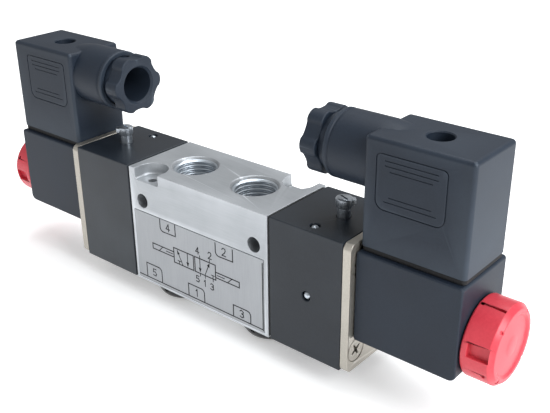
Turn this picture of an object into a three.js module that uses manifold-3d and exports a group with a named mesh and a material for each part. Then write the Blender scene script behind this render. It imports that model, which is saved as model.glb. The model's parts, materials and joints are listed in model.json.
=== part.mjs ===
// A 5/2 double-solenoid pneumatic valve with two plug-connected coils.
// Millimetres, +X along the valve, +Z up, Z = 0 at the lowest point of the two exhaust silencers.
import * as THREE from "three";
import { mergeVertices } from "three/addons/utils/BufferGeometryUtils.js";
import Module from "manifold-3d";

const wasm = await Module();
wasm.setup();

// Driving dimensions
const BODY_LENGTH = 55;
const BODY_WIDTH = 26;
const BODY_HEIGHT = 38.5;
const BASE_Z = 6.4; // underside of the body, above the silencers' domes
const AXIS_Z = BASE_Z + BODY_HEIGHT / 2; // spool, pistons and guide tubes share this axis
const SEAT_GAP = 0.1; // left between pieces that rest on each other
const RUNNING_GAP = 0.05; // radial, between sliding pieces
const PILOT_LENGTH = 24;
const GASKET_THICKNESS = 0.5;
const PLATE_THICKNESS = 2.5;
const COIL_LENGTH = 29.9;
const COIL_WIDTH = 22;
const COIL_BOTTOM = BASE_Z + 10.2;
const COIL_TOP = BASE_Z + 36.5;
const CONNECTOR_LENGTH = 29.2;
const CONNECTOR_WIDTH = 19.6;
const CONNECTOR_BOTTOM = BASE_Z + 38;
const CONNECTOR_TOP = BASE_Z + 67.3;
const WALL = 2;

// Along +X, from the middle of the valve outwards
const BODY_END = BODY_LENGTH / 2;
const PILOT_IN = BODY_END + GASKET_THICKNESS + 2 * SEAT_GAP;
const PILOT_OUT = PILOT_IN + PILOT_LENGTH;
const PLATE_IN = PILOT_OUT + SEAT_GAP;
const PLATE_OUT = PLATE_IN + PLATE_THICKNESS;
const COIL_IN = PLATE_OUT + SEAT_GAP;
const COIL_OUT = COIL_IN + COIL_LENGTH;
const CONNECTOR_IN = COIL_IN + 0.5;
const CONNECTOR_OUT = CONNECTOR_IN + CONNECTOR_LENGTH;
const CONNECTOR_MID = (CONNECTOR_IN + CONNECTOR_OUT) / 2;

// Ports
const TOP_PORT_X = 11.9;
const EXHAUST_X = 18.3;
const PORT_RADIUS = 5.75;
const PORT_RIM_RADIUS = 7.1;
const PORT_DEPTH = 9.6;
const GROOVE_PITCH = 9;
const GROOVE_WIDTH = 4;
const GROOVE_RADIUS = 7;

// Spool and pistons
const SPOOL_RADIUS = 5.45;
const SPOOL_TRAVEL = 5;
const SPOOL_REST = -SPOOL_TRAVEL / 2; // the spool is stored shifted to the left
const PISTON_RADIUS = 7.9;
const PISTON_LENGTH = 5.6;
const PISTON_INNERMOST = PILOT_IN + 0.2;
const CHAMBER_END = PISTON_INNERMOST + PISTON_LENGTH + SPOOL_TRAVEL + 0.3;
const SPOOL_HALF = PISTON_INNERMOST + SPOOL_TRAVEL / 2 - SEAT_GAP;
const SPOOL_SEALS = [-14.5, -3.5, 3.5, 14.5];

// Screws, pins and plugs
const SCREW_Y = 9.1;
const SCREW_DZ = 13.2;
const SCREW_RADIUS = 1.5;
const SCREW_HEAD_RADIUS = 3.4;
const SIDE_HOLE_X = 22.5;
const SIDE_HOLE_Z = BASE_Z + 28.2;
const SIDE_HOLE_RADIUS = 2.25;
const POCKET = { x: 20, y: 10.4, radius: 5, depth: 3.6, hole: 1.25 };
const OVERRIDE_X = 43.2;
const OVERRIDE_RADIUS = 1.9;
const OVERRIDE_TRAVEL = 1.6;
const BALL_X = 40.8;
const BALL_Y = 9.3;
const BALL_RADIUS = 1.3;

// Guide tube, plunger and coil nut
const TUBE_RADIUS = 4.4;
const TUBE_BORE = 3.55;
const PLUNGER_RADIUS = TUBE_BORE - RUNNING_GAP;
const PLUNGER_LENGTH = 20;
const PLUNGER_TRAVEL = 1.6;
const FLANGE_RADIUS = 6.6;
const FLANGE_THICKNESS = 1.6;
const STUD_RADIUS = 3.8;
const STUD_LENGTH = 5.6;
const NUT_RADIUS = 10.7;
const NUT_LENGTH = 8.6;

// Cable gland
const NECK_RADIUS = 9.2;
const NECK_Z = BASE_Z + 59.2;
const NECK_BORE = 7.8;
const NECK_END = 42.3;
const GLAND_FACE = 35.1;
const GLAND_HEAD = 4.9;
const GLAND_HOLE = 5.3;

const ROUND = 24; // sides of the larger round pieces
const SMALL = 12; // sides of the small ones

const COLOURS = {
  aluminium: { color: 0xb4b8bc, roughness: 0.35, metalness: 1 },
  label: { color: 0xb9bdc2, roughness: 0.45, metalness: 0.8 },
  steel: { color: 0xb0b4b8, roughness: 0.3, metalness: 1 },
  nickel: { color: 0xb8b2a4, roughness: 0.35, metalness: 1 },
  brass: { color: 0xb59a55, roughness: 0.35, metalness: 1 },
  block: { color: 0x2c333b, roughness: 0.45, metalness: 0.2 },
  plastic: { color: 0x39424e, roughness: 0.5, metalness: 0 },
  red: { color: 0xe03a48, roughness: 0.4, metalness: 0 },
  rubber: { color: 0x17191b, roughness: 0.8, metalness: 0 },
};

// Solids: a BufferGeometry becomes a manifold, is cut and joined, and comes back as a geometry.
function solid(geometry) {
  const plain = geometry.index ? geometry.toNonIndexed() : geometry.clone();
  plain.deleteAttribute("normal");
  plain.deleteAttribute("uv");
  const merged = mergeVertices(plain, 1e-4);
  return new wasm.Manifold(
    new wasm.Mesh({
      numProp: 3,
      vertProperties: merged.attributes.position.array,
      triVerts: new Uint32Array(merged.index.array),
    }),
  );
}

function geometryOf(manifold) {
  const mesh = manifold.getMesh();
  const geometry = new THREE.BufferGeometry();
  geometry.setAttribute("position", new THREE.BufferAttribute(mesh.vertProperties, 3));
  geometry.setIndex(new THREE.BufferAttribute(mesh.triVerts, 1));
  const faceted = geometry.toNonIndexed();
  faceted.computeVertexNormals();
  return faceted;
}

function cut(base, ...tools) {
  return tools.reduce((result, tool) => result.subtract(tool), base);
}

function join(base, ...others) {
  return others.reduce((result, other) => result.add(other), base);
}

// A box given by its low and high corners.
function box(low, high) {
  const size = high.map((h, i) => h - low[i]);
  const geometry = new THREE.BoxGeometry(...size);
  geometry.translate(...high.map((h, i) => (h + low[i]) / 2));
  return solid(geometry);
}

// A profile of [radius, distance] pairs turned about X, Y or Z through a centre.
function turned(axis, profile, centre = [0, 0, 0], sides = ROUND) {
  const points = profile.map(([radius, along]) => new THREE.Vector2(radius, along));
  const geometry = new THREE.LatheGeometry(points, sides);
  if (axis === "x") geometry.rotateZ(-Math.PI / 2);
  if (axis === "z") geometry.rotateX(Math.PI / 2);
  geometry.translate(...centre);
  const made = solid(geometry);
  if (made.volume() > 0) return made;
  return turned(axis, [...profile].reverse(), centre, sides);
}

function rod(axis, radius, from, to, centre, sides = ROUND) {
  return turned(axis, [[0, from], [radius, from], [radius, to], [0, to]], centre, sides);
}

function ring(axis, outer, inner, from, to, centre, sides = ROUND) {
  const profile = [[inner, from], [outer, from], [outer, to], [inner, to], [inner, from]];
  return turned(axis, profile, centre, sides);
}

// An O-ring lying in a plane across the axis.
function oRing(axis, middle, section, at, centre, sides = ROUND) {
  const profile = [];
  const faces = 6;
  for (let i = 0; i <= faces; i += 1) {
    const angle = (i % faces) * ((Math.PI * 2) / faces);
    profile.push([middle + section * Math.cos(angle), at + section * Math.sin(angle)]);
  }
  return turned(axis, profile, centre, sides);
}

// A flat outline in X and Y, pushed up along Z from zero.
function prism(shape, height, curveSegments = 6) {
  return solid(new THREE.ExtrudeGeometry(shape, { depth: height, bevelEnabled: false, curveSegments }));
}

function roundedRectangle(width, height, radius) {
  const w = width / 2;
  const h = height / 2;
  const shape = new THREE.Shape();
  shape.moveTo(-w + radius, -h);
  shape.lineTo(w - radius, -h);
  shape.absarc(w - radius, -h + radius, radius, -Math.PI / 2, 0);
  shape.lineTo(w, h - radius);
  shape.absarc(w - radius, h - radius, radius, 0, Math.PI / 2);
  shape.lineTo(-w + radius, h);
  shape.absarc(-w + radius, h - radius, radius, Math.PI / 2, Math.PI);
  shape.lineTo(-w, -h + radius);
  shape.absarc(-w + radius, -h + radius, radius, Math.PI, Math.PI * 1.5);
  return shape;
}

// A rounded slab across X: width along Y, height along Z.
function slabAcross(from, to, width, height, radius, middleZ) {
  const turn = new THREE.Matrix4().makeBasis(
    new THREE.Vector3(0, 1, 0),
    new THREE.Vector3(0, 0, 1),
    new THREE.Vector3(1, 0, 0),
  );
  const geometry = new THREE.ExtrudeGeometry(roundedRectangle(width, height, radius), {
    depth: to - from,
    bevelEnabled: false,
    curveSegments: 5,
  });
  geometry.applyMatrix4(turn);
  geometry.translate(from, 0, middleZ);
  return solid(geometry);
}

// A round wire wound into a helix about X or Z.
function coilSpring(axis, radius, wire, from, to, turns, centre) {
  const path = new THREE.Curve();
  path.getPoint = (t, target = new THREE.Vector3()) => {
    const angle = t * turns * Math.PI * 2;
    const along = from + wire + t * (to - from - 2 * wire);
    const u = radius * Math.cos(angle);
    const v = radius * Math.sin(angle);
    return axis === "x" ? target.set(along, u, v) : target.set(u, v, along);
  };
  const section = new THREE.Shape();
  section.absarc(0, 0, wire, 0, Math.PI * 2);
  const geometry = new THREE.ExtrudeGeometry(section, {
    steps: turns * 8,
    curveSegments: 3,
    extrudePath: path,
    bevelEnabled: false,
  });
  geometry.translate(...centre);
  return solid(geometry);
}

const axisLine = [0, 0, AXIS_Z];

function onEveryScrew(make) {
  const places = [];
  for (const y of [-SCREW_Y, SCREW_Y]) {
    for (const dz of [-SCREW_DZ, SCREW_DZ]) places.push(make(y, AXIS_Z + dz));
  }
  return places;
}

// The valve body

function portHole(x, up) {
  const face = up ? BASE_Z + BODY_HEIGHT : BASE_Z;
  const inwards = up ? -1 : 1;
  const mouth = (PORT_RIM_RADIUS - PORT_RADIUS) * 0.75;
  const profile = [
    [0, face - inwards],
    [PORT_RIM_RADIUS, face - inwards],
    [PORT_RIM_RADIUS, face],
    [PORT_RADIUS, face + inwards * mouth],
    [PORT_RADIUS, face + inwards * PORT_DEPTH],
    [0, face + inwards * PORT_DEPTH],
  ];
  return turned("z", profile, [x, 0, 0]);
}

function cornerPocket(side) {
  const floor = BASE_Z + BODY_HEIGHT - POCKET.depth;
  const top = BASE_Z + BODY_HEIGHT + 1;
  const x = side * POCKET.x;
  const y = side * POCKET.y;
  const edge = side * (BODY_WIDTH / 2 + 1);
  const low = [x - POCKET.radius, Math.min(y, edge), floor];
  const high = [x + POCKET.radius, Math.max(y, edge), top];
  const well = rod("z", POCKET.radius, floor, top, [x, y, 0]);
  const hole = rod("z", POCKET.hole, floor - 3, floor + 1, [x, y, 0], SMALL);
  return join(well, box(low, high), hole);
}

function valveBody() {
  const half = BODY_WIDTH / 2;
  const block = box([-BODY_END, -half, BASE_Z], [BODY_END, half, BASE_Z + BODY_HEIGHT]);
  const bore = rod("x", SPOOL_RADIUS + RUNNING_GAP, -BODY_END - 1, BODY_END + 1, axisLine);
  const grooves = [-2, -1, 0, 1, 2].map((step) => {
    const middle = step * GROOVE_PITCH;
    return rod("x", GROOVE_RADIUS, middle - GROOVE_WIDTH / 2, middle + GROOVE_WIDTH / 2, axisLine);
  });
  const ports = [-TOP_PORT_X, TOP_PORT_X].map((x) => portHole(x, true));
  const lower = [-EXHAUST_X, 0, EXHAUST_X].map((x) => portHole(x, false));
  const ways = [-2, -1, 0, 1, 2].map((step) => {
    const up = Math.abs(step) === 1;
    const from = up ? AXIS_Z : BASE_Z + PORT_DEPTH - 1;
    const to = up ? BASE_Z + BODY_HEIGHT - PORT_DEPTH + 1 : AXIS_Z;
    return rod("z", 1.95, from, to, [step * GROOVE_PITCH, 0, 0], SMALL);
  });
  const sideHoles = [-SIDE_HOLE_X, SIDE_HOLE_X].map((x) =>
    rod("y", SIDE_HOLE_RADIUS, -half - 1, half + 1, [x, 0, SIDE_HOLE_Z], SMALL + 4),
  );
  const screwHoles = [-1, 1].flatMap((side) =>
    onEveryScrew((y, z) => {
      const [from, to] = side > 0 ? [BODY_END - 5.5, BODY_END + 1] : [-BODY_END - 1, -BODY_END + 5.5];
      return rod("x", SCREW_RADIUS + 0.1, from, to, [0, y, z], SMALL);
    }),
  );
  const labelWell = box([-26.5, -half - 1, BASE_Z + 0.9], [26, -half + 0.2, BASE_Z + 24.6]);
  const pockets = [cornerPocket(-1), cornerPocket(1)];
  return cut(block, bore, ...grooves, ...ports, ...lower, ...ways, ...sideHoles, ...screwHoles, labelWell, ...pockets);
}

function nameLabel() {
  const face = -BODY_WIDTH / 2;
  return box([-26.4, face, BASE_Z + 1], [25.9, face + 0.15, BASE_Z + 24.5]);
}

function exhaustSilencer(x) {
  const under = BASE_Z - SEAT_GAP;
  const profile = [
    [0, 0],
    [7.4, 0],
    [8.8, 0.9],
    [9.5, 2.4],
    [9.6, 4.2],
    [9.6, under],
    [PORT_RADIUS - 0.1, under],
    [PORT_RADIUS - 0.1, under + 7],
    [3.6, under + 7],
    [3.6, 2],
    [0, 2],
  ];
  const slot = (angle) => {
    const geometry = new THREE.BoxGeometry(22, 1.2, 2.2);
    geometry.rotateZ(angle);
    geometry.translate(x, 0, 3.9);
    return solid(geometry);
  };
  const head = turned("z", profile, [x, 0, 0]);
  return cut(head, slot(Math.PI / 6), slot(Math.PI / 2), slot((Math.PI * 5) / 6));
}

function spool() {
  const neck = 3;
  const grooveFloor = 3.9;
  const sealHalf = 0.8;
  const land = 1.7;
  const points = [[0, -SPOOL_HALF], [SPOOL_RADIUS, -SPOOL_HALF], [SPOOL_RADIUS, -22.6]];
  for (const at of SPOOL_SEALS) {
    points.push(
      [neck, at === SPOOL_SEALS[0] ? -22.6 : at - land],
      [neck, at - land],
      [SPOOL_RADIUS, at - land],
      [SPOOL_RADIUS, at - sealHalf],
      [grooveFloor, at - sealHalf],
      [grooveFloor, at + sealHalf],
      [SPOOL_RADIUS, at + sealHalf],
      [SPOOL_RADIUS, at + land],
      [neck, at + land],
    );
  }
  points.push([neck, 22.6], [SPOOL_RADIUS, 22.6], [SPOOL_RADIUS, SPOOL_HALF], [0, SPOOL_HALF]);
  const clean = points.filter((p, i) => i === 0 || p[0] !== points[i - 1][0] || p[1] !== points[i - 1][1]);
  return turned("x", clean, [SPOOL_REST, 0, AXIS_Z]);
}

function spoolSeal(index) {
  return oRing("x", 4.68, 0.75, SPOOL_SEALS[index] + SPOOL_REST, axisLine);
}

// One end of the valve, built along +X; the other end is the same pieces turned half a turn about Z.

function pilotGasket() {
  const slab = slabAcross(BODY_END + SEAT_GAP, PILOT_IN - SEAT_GAP, BODY_WIDTH - 0.6, BODY_HEIGHT - 0.6, 1, AXIS_Z);
  const bore = rod("x", 8.2, BODY_END - 1, PILOT_IN + 1, axisLine);
  const holes = onEveryScrew((y, z) => rod("x", SCREW_RADIUS + 0.3, BODY_END - 1, PILOT_IN + 1, [0, y, z], SMALL));
  return cut(slab, bore, ...holes);
}

function pilotBlock() {
  const half = BODY_WIDTH / 2;
  const top = BASE_Z + BODY_HEIGHT;
  const block = box([PILOT_IN, -half, BASE_Z], [PILOT_OUT, half, top]);
  const chamber = rod("x", PISTON_RADIUS + 0.1, PILOT_IN - 1, CHAMBER_END, axisLine);
  const seat = rod("x", FLANGE_RADIUS + 0.1, PILOT_OUT - FLANGE_THICKNESS - 0.6, PILOT_OUT + 1, axisLine);
  const orifice = rod("x", 0.8, CHAMBER_END - 1, PILOT_OUT - 1, axisLine, SMALL);
  const pinBore = rod("z", OVERRIDE_RADIUS + RUNNING_GAP, AXIS_Z + 3, top + 1, [OVERRIDE_X, 0, 0]);
  const pinPassage = rod("z", 0.9, AXIS_Z, AXIS_Z + 4, [OVERRIDE_X, 0, 0], SMALL);
  const screws = onEveryScrew((y, z) =>
    rod("x", SCREW_RADIUS + 0.2, PILOT_IN - 1, PILOT_OUT + 1, [0, y, z], SMALL),
  );
  const topBall = rod("z", BALL_RADIUS + 0.1, top - 5, top + 1, [BALL_X, -BALL_Y, 0], SMALL);
  const frontBall = rod("y", BALL_RADIUS + 0.1, -half - 1, -half + 4, [BALL_X, 0, AXIS_Z - 0.4], SMALL);
  return cut(block, chamber, seat, orifice, pinBore, pinPassage, ...screws, topBall, frontBall);
}

// The piston's inner face stands at the given X.
function piston(inner) {
  const outer = inner + PISTON_LENGTH;
  const middle = (inner + outer) / 2;
  const profile = [
    [0, inner],
    [PISTON_RADIUS - 0.6, inner],
    [PISTON_RADIUS, inner + 0.6],
    [PISTON_RADIUS, middle - 1],
    [5.9, middle - 1],
    [5.9, middle + 1],
    [PISTON_RADIUS, middle + 1],
    [PISTON_RADIUS, outer - 0.8],
    [3, outer - 0.8],
    [3, outer],
    [0, outer],
  ];
  return turned("x", profile, axisLine);
}

function pistonSeal(inner) {
  return oRing("x", 6.97, 0.95, inner + PISTON_LENGTH / 2, axisLine);
}

const OVERRIDE_TOP = BASE_Z + BODY_HEIGHT + 5.4;
const OVERRIDE_FOOT = AXIS_Z + 8;

// A turned pin with a slotted head and a short pointer that shows which way it is turned.
function overridePin() {
  const top = BASE_Z + BODY_HEIGHT;
  const groove = top - 3;
  const profile = [
    [0, OVERRIDE_FOOT],
    [OVERRIDE_RADIUS, OVERRIDE_FOOT],
    [OVERRIDE_RADIUS, groove - 0.6],
    [1.25, groove - 0.6],
    [1.25, groove + 0.6],
    [OVERRIDE_RADIUS, groove + 0.6],
    [OVERRIDE_RADIUS, top + 2.6],
    [2.3, top + 3.1],
    [2.3, OVERRIDE_TOP - 0.2],
    [2.1, OVERRIDE_TOP],
    [0, OVERRIDE_TOP],
  ];
  const pin = turned("z", profile, [OVERRIDE_X, 0, 0]);
  const pointer = new THREE.Shape();
  pointer.moveTo(0, -1.9);
  pointer.lineTo(3.1, -0.7);
  pointer.lineTo(3.1, 0.7);
  pointer.lineTo(0, 1.9);
  const blade = new THREE.ExtrudeGeometry(pointer, { depth: 1.5, bevelEnabled: false });
  blade.rotateZ(Math.PI / 4);
  blade.translate(OVERRIDE_X, 0, OVERRIDE_TOP - 1.9);
  const slot = new THREE.BoxGeometry(3.4, 0.6, 1.4);
  slot.rotateZ(-Math.PI / 9);
  slot.translate(OVERRIDE_X, 0, OVERRIDE_TOP);
  return cut(join(pin, solid(blade)), solid(slot));
}

function overrideSeal() {
  return oRing("z", 1.6, 0.28, BASE_Z + BODY_HEIGHT - 3, [OVERRIDE_X, 0, 0]);
}

function overrideSpring() {
  return coilSpring("z", 1.35, 0.25, AXIS_Z + 3.1, OVERRIDE_FOOT - SEAT_GAP, 4, [OVERRIDE_X, 0, 0]);
}

function ballPlug(centre) {
  const geometry = new THREE.SphereGeometry(BALL_RADIUS, 10, 6);
  geometry.translate(...centre);
  return solid(geometry);
}

function flangePlate() {
  const slab = slabAcross(PLATE_IN, PLATE_OUT, BODY_WIDTH, BODY_HEIGHT, 2, AXIS_Z);
  const hole = rod("x", TUBE_RADIUS + 0.1, PLATE_IN - 1, PLATE_OUT + 1, axisLine);
  const countersinks = onEveryScrew((y, z) => {
    const profile = [
      [0, PLATE_IN - 1],
      [SCREW_RADIUS + 0.2, PLATE_IN - 1],
      [SCREW_RADIUS + 0.2, PLATE_OUT - 2.1],
      [SCREW_HEAD_RADIUS + 0.1, PLATE_OUT - 0.2],
      [SCREW_HEAD_RADIUS + 0.1, PLATE_OUT + 1],
      [0, PLATE_OUT + 1],
    ];
    return turned("x", profile, [0, y, z], SMALL + 4);
  });
  return cut(slab, hole, ...countersinks);
}

// A countersunk cross-head screw through the plate and the pilot block into the body.
function plateScrew(y, z) {
  const face = PLATE_OUT - 0.1;
  const profile = [
    [0, BODY_END - 5],
    [SCREW_RADIUS, BODY_END - 5],
    [SCREW_RADIUS, PLATE_OUT - 2],
    [SCREW_HEAD_RADIUS, PLATE_OUT - 0.3],
    [SCREW_HEAD_RADIUS, face],
    [0, face],
  ];
  const arm = 0.45;
  const reach = 1.9;
  const across = box([face - 1.2, y - reach, z - arm], [face + 1, y + reach, z + arm]);
  const upright = box([face - 1.2, y - arm, z - reach], [face + 1, y + arm, z + reach]);
  return cut(turned("x", profile, [0, y, z], SMALL + 4), across, upright);
}

function guideTube() {
  const flangeIn = PILOT_OUT - FLANGE_THICKNESS - SEAT_GAP;
  const flangeOut = PILOT_OUT - SEAT_GAP;
  const boreEnd = flangeIn + PLUNGER_LENGTH + PLUNGER_TRAVEL + 0.8;
  const profile = [
    [TUBE_BORE, flangeIn],
    [FLANGE_RADIUS, flangeIn],
    [FLANGE_RADIUS, flangeOut],
    [TUBE_RADIUS, flangeOut],
    [TUBE_RADIUS, COIL_OUT],
    [STUD_RADIUS, COIL_OUT],
    [STUD_RADIUS, COIL_OUT + STUD_LENGTH],
    [0, COIL_OUT + STUD_LENGTH],
    [0, boreEnd],
    [TUBE_BORE, boreEnd],
    [TUBE_BORE, flangeIn],
  ];
  return turned("x", profile, axisLine);
}

const PLUNGER_IN = PILOT_OUT - FLANGE_THICKNESS - SEAT_GAP + 0.3;
const PLUNGER_WELL = 7;

function plunger() {
  const outer = PLUNGER_IN + PLUNGER_LENGTH;
  const profile = [
    [0, PLUNGER_IN],
    [2.4, PLUNGER_IN],
    [PLUNGER_RADIUS, PLUNGER_IN + 1],
    [PLUNGER_RADIUS, outer],
    [2.3, outer],
    [2.3, outer - PLUNGER_WELL],
    [0, outer - PLUNGER_WELL],
  ];
  return turned("x", profile, axisLine, SMALL + 4);
}

function plungerSpring() {
  const from = PLUNGER_IN + PLUNGER_LENGTH - PLUNGER_WELL + SEAT_GAP;
  const to = PLUNGER_IN - 0.3 + PLUNGER_LENGTH + PLUNGER_TRAVEL + 0.8 - SEAT_GAP;
  return coilSpring("x", 1.75, 0.3, from, to, 5, axisLine);
}

// Encapsulated winding with three blades and a screw post on top.
function coil() {
  const half = COIL_WIDTH / 2;
  const outline = new THREE.Shape();
  const height = COIL_TOP - COIL_BOTTOM;
  outline.moveTo(0, 0.8);
  outline.lineTo(0.8, 0);
  outline.lineTo(COIL_LENGTH - 2, 0);
  outline.absarc(COIL_LENGTH - 2, 2, 2, -Math.PI / 2, 0);
  outline.lineTo(COIL_LENGTH, height);
  outline.lineTo(0, height);
  const geometry = new THREE.ExtrudeGeometry(outline, {
    depth: COIL_WIDTH,
    bevelEnabled: false,
    curveSegments: 4,
  });
  geometry.rotateX(Math.PI / 2);
  geometry.translate(COIL_IN, half, COIL_BOTTOM);
  const bore = rod("x", TUBE_RADIUS + 0.1, COIL_IN - 1, COIL_OUT + 1, axisLine);
  const post = rod("z", 2.6, COIL_TOP - 1, COIL_TOP + 5, [CONNECTOR_MID, 0, 0], SMALL);
  const thread = rod("z", 1.45, COIL_TOP - 3, COIL_TOP + 6, [CONNECTOR_MID, 0, 0], SMALL);
  const blades = [
    box([CONNECTOR_MID - 8.4, -3.1, COIL_TOP - 1], [CONNECTOR_MID - 7.6, 3.1, COIL_TOP + 8]),
    box([CONNECTOR_MID + 7.6, -3.1, COIL_TOP - 1], [CONNECTOR_MID + 8.4, 3.1, COIL_TOP + 8]),
    box([CONNECTOR_MID - 2.4, 5.4, COIL_TOP - 1], [CONNECTOR_MID + 2.4, 6.2, COIL_TOP + 8]),
  ];
  return cut(join(cut(solid(geometry), bore), post, ...blades), thread);
}

// A box-shaped slab lying flat under or in the connector, with the slots that the blades pass through.
function aroundBlades(low, high) {
  const [bottom, top] = [low[2] - 1, high[2] + 1];
  const m = CONNECTOR_MID;
  return cut(
    box(low, high),
    box([m - 8.9, -3.6, bottom], [m - 7.1, 3.6, top]),
    box([m + 7.1, -3.6, bottom], [m + 8.9, 3.6, top]),
    box([m - 2.9, 4.9, bottom], [m + 2.9, 6.7, top]),
    rod("z", 2.8, bottom, Math.min(top, COIL_TOP + 5.6), [m, 0, 0], SMALL),
    rod("z", 1.7, bottom, top, [m, 0, 0], SMALL),
  );
}

function connectorGasket() {
  const half = CONNECTOR_WIDTH / 2 - 0.2;
  return aroundBlades(
    [CONNECTOR_IN + 0.2, -half, COIL_TOP + SEAT_GAP],
    [CONNECTOR_OUT - 0.2, half, CONNECTOR_BOTTOM - SEAT_GAP],
  );
}

function terminalInsert() {
  const half = CONNECTOR_WIDTH / 2 - WALL - 0.2;
  return aroundBlades(
    [CONNECTOR_IN + WALL + 0.2, -half, CONNECTOR_BOTTOM],
    [CONNECTOR_OUT - WALL - 0.2, half, CONNECTOR_BOTTOM + 10.5],
  );
}

const SCREW_RECESS = CONNECTOR_TOP - 8.5;

function connectorHousing() {
  const half = CONNECTOR_WIDTH / 2;
  const shape = roundedRectangle(CONNECTOR_LENGTH, CONNECTOR_WIDTH, 1.2);
  const shellHeight = CONNECTOR_TOP - CONNECTOR_BOTTOM;
  const place = (solidPiece, z) => solidPiece.translate([CONNECTOR_MID, 0, z]);
  const shell = place(prism(shape, shellHeight, 4), CONNECTOR_BOTTOM);
  const neckLine = [0, 0, NECK_Z];
  const neck = rod("x", NECK_RADIUS, NECK_END, CONNECTOR_IN + 4, neckLine, ROUND);
  const hollow = box(
    [CONNECTOR_IN + WALL, -half + WALL, CONNECTOR_BOTTOM - 1],
    [CONNECTOR_OUT - WALL, half - WALL, CONNECTOR_TOP - WALL],
  );
  const bore = rod("x", NECK_BORE, NECK_END - 1, CONNECTOR_IN + 1.5, neckLine, ROUND);
  const way = rod("x", 6, CONNECTOR_IN, CONNECTOR_IN + 4, neckLine, ROUND);
  const pillar = rod("z", 4.6, SCREW_RECESS - 1.6, CONNECTOR_TOP - 1, [CONNECTOR_MID, 0, 0], SMALL + 4);
  const recess = rod("z", 3.4, SCREW_RECESS, CONNECTOR_TOP + 1, [CONNECTOR_MID, 0, 0], SMALL + 6);
  const hole = rod("z", 1.7, SCREW_RECESS - 3, CONNECTOR_TOP, [CONNECTOR_MID, 0, 0], SMALL);
  return cut(join(cut(join(shell, neck), hollow, bore, way), pillar), recess, hole);
}

function connectorScrew() {
  const head = SCREW_RECESS + SEAT_GAP;
  const profile = [
    [0, COIL_TOP - 2],
    [1.3, COIL_TOP - 2],
    [1.3, head],
    [2.8, head],
    [2.8, head + 1.8],
    [2.4, head + 2.2],
    [0, head + 2.2],
  ];
  const slot = box([CONNECTOR_MID - 3.5, -0.4, head + 1.2], [CONNECTOR_MID + 3.5, 0.4, head + 3]);
  return cut(turned("z", profile, [CONNECTOR_MID, 0, 0], SMALL), slot);
}

function glandSeal() {
  return ring("x", 7.3, 3.6, NECK_END + 5, CONNECTOR_IN + 1.3, [0, 0, NECK_Z], SMALL + 6);
}

// A six-lobed hand nut with a threaded shank in the neck.
function glandNut() {
  const lobes = 6;
  const steps = 48;
  const outline = new THREE.Shape();
  for (let i = 0; i < steps; i += 1) {
    const angle = (i / steps) * Math.PI * 2;
    const crest = Math.cos(lobes * angle);
    const radius = 8.45 + 0.75 * Math.sign(crest) * Math.sqrt(Math.abs(crest));
    const [u, v] = [radius * Math.cos(angle), radius * Math.sin(angle)];
    if (i === 0) outline.moveTo(u, v);
    else outline.lineTo(u, v);
  }
  const geometry = new THREE.ExtrudeGeometry(outline, { depth: GLAND_HEAD, bevelEnabled: false });
  geometry.rotateY(Math.PI / 2);
  geometry.translate(GLAND_FACE, 0, NECK_Z);
  const line = [0, 0, NECK_Z];
  const shank = rod("x", NECK_BORE - 0.3, GLAND_FACE + GLAND_HEAD - 0.5, NECK_END + 4.8, line, ROUND);
  const hole = rod("x", GLAND_HOLE, GLAND_FACE - 1, NECK_END + 6, line, ROUND);
  return cut(join(solid(geometry), shank), hole);
}

// A moulded cap nut with grip pockets round its side.
function coilNut() {
  const inner = COIL_OUT + 0.3;
  const outer = inner + NUT_LENGTH;
  const profile = [
    [0, inner],
    [NUT_RADIUS, inner],
    [NUT_RADIUS, outer - 1.4],
    [NUT_RADIUS - 1.4, outer],
    [0, outer],
  ];
  const cap = turned("x", profile, axisLine, 36);
  const bore = rod("x", STUD_RADIUS + 0.1, inner - 1, COIL_OUT + STUD_LENGTH + 0.6, axisLine, SMALL + 4);
  const pockets = [];
  const count = 6;
  for (let i = 0; i < count; i += 1) {
    const geometry = new THREE.BoxGeometry(NUT_LENGTH - 3.2, 3, 2.4);
    geometry.translate((inner + outer) / 2 - 0.6, 0, NUT_RADIUS);
    geometry.rotateX((i / count) * Math.PI * 2);
    geometry.translate(0, 0, AXIS_Z);
    pockets.push(solid(geometry));
  }
  return cut(cap, bore, ...pockets);
}

// Assembly

function mesh(name, manifold, look) {
  const material = new THREE.MeshStandardMaterial(COLOURS[look]);
  const piece = new THREE.Mesh(geometryOf(manifold), material);
  piece.name = name;
  return piece;
}

function valveCentre() {
  const group = new THREE.Group();
  group.add(mesh("valve_body", valveBody(), "aluminium"));
  group.add(mesh("name_label", nameLabel(), "label"));
  group.add(mesh("spool", spool(), "aluminium"));
  SPOOL_SEALS.forEach((at, i) => group.add(mesh(`spool_seal_${i + 1}`, spoolSeal(i), "rubber")));
  group.add(mesh("exhaust_silencer_left", exhaustSilencer(-EXHAUST_X), "plastic"));
  group.add(mesh("exhaust_silencer_right", exhaustSilencer(EXHAUST_X), "plastic"));
  return group;
}

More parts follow.
